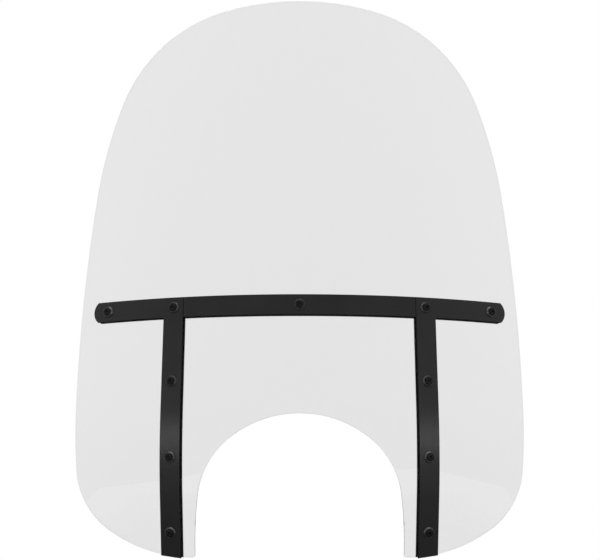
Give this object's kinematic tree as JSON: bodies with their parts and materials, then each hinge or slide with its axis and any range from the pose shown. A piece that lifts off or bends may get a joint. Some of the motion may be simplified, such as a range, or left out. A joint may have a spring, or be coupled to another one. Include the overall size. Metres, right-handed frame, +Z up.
{
  "type": "motorcycle windshield",
  "caption": "Tall clear motorcycle windshield with a headlight cutout, clamped between black metal straps with cap nuts and mounting studs.",
  "frame": {"origin": "middle of the four mounting studs, at the rear faces of the straps, on the plane of symmetry", "axes": "+Z up, +Y towards the rider, -Y towards the road, +X to the right as seen from the front"},
  "size_m": [0.5074, 0.1359, 0.6381],
  "materials": {
    "clear_sheet": "polished clear polycarbonate",
    "black_strap": "satin black powder coat on steel bar",
    "black_hardware": "black oxide steel",
    "gasket_rubber": "matte black sealing strip",
    "bushing_plastic": "black nylon"
  },
  "bodies": {
    "root": {"windshield": "clear_sheet", "front_strap_left": "black_strap", "rear_strap_left": "black_strap", "front_strap_center": "black_strap", "rear_strap_center": "black_strap", "front_strap_right": "black_strap", "rear_strap_right": "black_strap", "front_gasket_left": "gasket_rubber", "rear_gasket_left": "gasket_rubber", "front_gasket_center": "gasket_rubber", "rear_gasket_center": "gasket_rubber", "front_gasket_right": "gasket_rubber", "rear_gasket_right": "gasket_rubber", "screw_center": "black_hardware", "cup_washer_center": "black_hardware", "cap_nut_center": "black_hardware", "screw_corner_left": "black_hardware", "cup_washer_corner_left": "black_hardware", "cap_nut_corner_left": "black_hardware", "screw_tip_left": "black_hardware", "cup_washer_tip_left": "black_hardware", "cap_nut_tip_left": "black_hardware", "screw_leg_upper_left": "black_hardware", "cup_washer_leg_upper_left": "black_hardware", "cap_nut_leg_upper_left": "black_hardware", "screw_leg_middle_left": "black_hardware", "cup_washer_leg_middle_left": "black_hardware", "thin_nut_leg_middle_left": "black_hardware", "screw_leg_lower_left": "black_hardware", "cup_washer_leg_lower_left": "black_hardware", "thin_nut_leg_lower_left": "black_hardware", "screw_corner_right": "black_hardware", "cup_washer_corner_right": "black_hardware", "cap_nut_corner_right": "black_hardware", "screw_tip_right": "black_hardware", "cup_washer_tip_right": "black_hardware", "cap_nut_tip_right": "black_hardware", "screw_leg_upper_right": "black_hardware", "cup_washer_leg_upper_right": "black_hardware", "cap_nut_leg_upper_right": "black_hardware", "screw_leg_middle_right": "black_hardware", "cup_washer_leg_middle_right": "black_hardware", "thin_nut_leg_middle_right": "black_hardware", "screw_leg_lower_right": "black_hardware", "cup_washer_leg_lower_right": "black_hardware", "thin_nut_leg_lower_right": "black_hardware", "hole_bushings_left": "bushing_plastic", "rear_washers_left": "black_hardware", "hole_bushings_center": "bushing_plastic", "rear_washers_center": "black_hardware", "hole_bushings_right": "bushing_plastic", "rear_washers_right": "black_hardware"}
  },
  "joints": []
}
